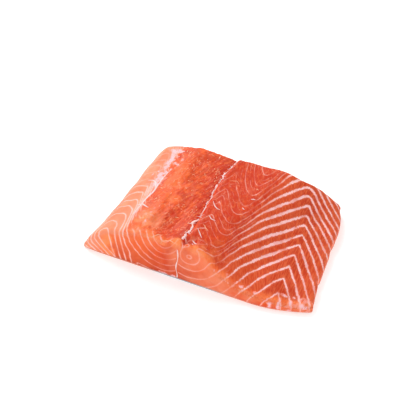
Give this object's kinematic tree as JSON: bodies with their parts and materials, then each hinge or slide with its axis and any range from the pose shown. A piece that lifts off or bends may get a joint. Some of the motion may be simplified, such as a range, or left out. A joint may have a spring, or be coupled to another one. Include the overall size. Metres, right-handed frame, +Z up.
{
  "type": "salmon loin",
  "caption": "Raw salmon loin piece, cut across a skin-on fillet: thick back muscle, midline seam and striped belly side, lying skin down.",
  "frame": {"origin": "middle of the underside's box, on the surface that the piece lies on", "axes": "+X across the fillet from the back edge to the belly edge, +Y along the fish from the front cut to the rear cut, +Z up from the skin to the flesh side"},
  "size_m": [0.1714, 0.1078, 0.035],
  "materials": {
    "raw_flesh": "wet, soft gloss, orange-pink with pale fat lines",
    "fish_skin": "wet silver-grey scales"
  },
  "bodies": {
    "root": {"salmon_flesh": "raw_flesh", "salmon_skin": "fish_skin"}
  },
  "joints": []
}
